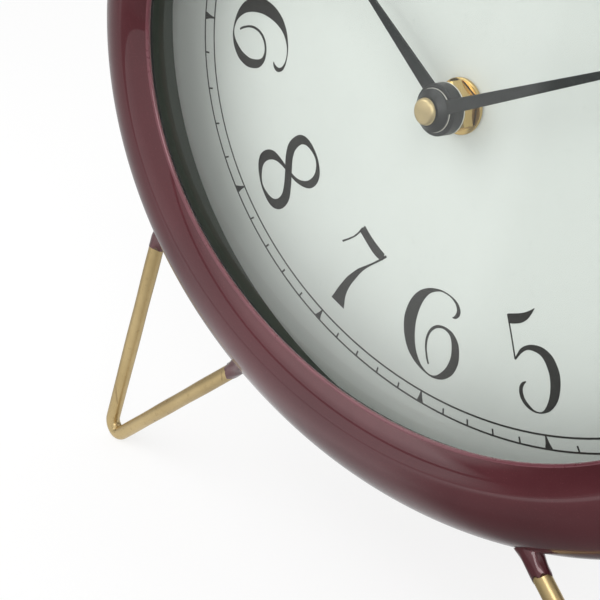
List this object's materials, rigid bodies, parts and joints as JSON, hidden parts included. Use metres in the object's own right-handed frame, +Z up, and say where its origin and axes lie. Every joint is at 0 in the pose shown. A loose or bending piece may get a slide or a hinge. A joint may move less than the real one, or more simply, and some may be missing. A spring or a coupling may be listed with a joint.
{
  "type": "table clock",
  "caption": "Oval table clock with a rolled burgundy metal case, flat glass, pale dial, black hands, quartz movement and bent gold wire legs.",
  "frame": {"origin": "on the table, under the middle of the clock's bounding box", "axes": "+Z up, the dial faces -Y and leans back a little, +X to the right seen from the front"},
  "size_m": [0.1854, 0.0626, 0.1798],
  "materials": {
    "case_paint": "glossy metallic burgundy lacquer",
    "leg_gold": "satin gold plated wire",
    "lens": "clear float glass",
    "gasket_rubber": "black rubber",
    "lining": "dark grey satin",
    "dial_face": "pale matt print on sheet",
    "hand_black": "satin black",
    "hub_brass": "turned brass",
    "cover_black": "fine black texture paint",
    "zinc_steel": "zinc plated",
    "housing_plastic": "moulded black plastic",
    "wheel_nylon": "moulded white nylon",
    "coil_copper": "enamelled copper wire",
    "board_green": "green board",
    "cell_jacket": "plain printed jacket"
  },
  "bodies": {
    "case": {"case_shell": "case_paint", "glass_gasket": "gasket_rubber", "glass_lens": "lens", "spacer_ring": "lining", "dial_plate": "dial_face", "case_tab_top": "zinc_steel", "case_tab_right": "zinc_steel", "case_tab_bottom": "zinc_steel", "case_tab_left": "zinc_steel", "cover_screw_top": "zinc_steel", "cover_screw_right": "zinc_steel", "cover_screw_bottom": "zinc_steel", "cover_screw_left": "zinc_steel", "back_cover": "cover_black", "movement_lid": "housing_plastic", "movement_tray": "housing_plastic", "threaded_bushing": "hub_brass", "rubber_washer": "gasket_rubber", "brass_washer": "hub_brass", "hex_nut": "hub_brass", "motor_can": "zinc_steel", "motor_coil": "coil_copper", "motor_core": "zinc_steel", "circuit_board": "board_green", "quartz_crystal": "zinc_steel", "battery_cell": "cell_jacket", "contact_minus": "zinc_steel", "contact_plus": "zinc_steel", "left_leg": "leg_gold", "left_leg_weld_upper": "case_paint", "left_leg_weld_lower": "case_paint", "right_leg": "leg_gold", "right_leg_weld_upper": "case_paint", "right_leg_weld_lower": "case_paint", "rear_leg": "leg_gold", "rear_leg_weld_left": "case_paint", "rear_leg_weld_right": "case_paint"},
    "minute": {"centre_wheel": "zinc_steel", "minute_hand": "hand_black", "cap_nut": "hub_brass"},
    "hour": {"hour_wheel": "wheel_nylon", "hour_hand": "hand_black"},
    "setting": {"motion_wheel": "wheel_nylon", "setting_knob": "housing_plastic"},
    "third": {"third_wheel": "wheel_nylon"},
    "second": {"second_wheel": "wheel_nylon"}
  },
  "joints": [
    {"name": "minute_turn", "type": "hinge", "parent": "case", "child": "minute", "pos_m": [0, -0.00243, 0.1051], "axis": [0, 0.991, -0.134], "continuous": true},
    {"name": "hour_turn", "type": "hinge", "parent": "case", "child": "hour", "pos_m": [0, -0.00243, 0.1051], "axis": [0, 0.991, -0.134], "continuous": true},
    {"name": "setting_turn", "type": "hinge", "parent": "case", "child": "setting", "pos_m": [0.012, -0.00243, 0.1051], "axis": [0, 0.991, -0.134], "continuous": true},
    {"name": "third_turn", "type": "hinge", "parent": "case", "child": "third", "pos_m": [0, -0.00091, 0.11633], "axis": [0, 0.991, -0.134], "continuous": true},
    {"name": "second_turn", "type": "hinge", "parent": "case", "child": "second", "pos_m": [-0.009, -0.00091, 0.11633], "axis": [0, 0.991, -0.134], "continuous": true}
  ],
  "couplings": [
    {"joint": "hour_turn", "follows": "minute_turn", "ratio": 0.083333},
    {"joint": "setting_turn", "follows": "minute_turn", "ratio": -0.33333},
    {"joint": "third_turn", "follows": "minute_turn", "ratio": -7.5},
    {"joint": "second_turn", "follows": "minute_turn", "ratio": 60}
  ]
}
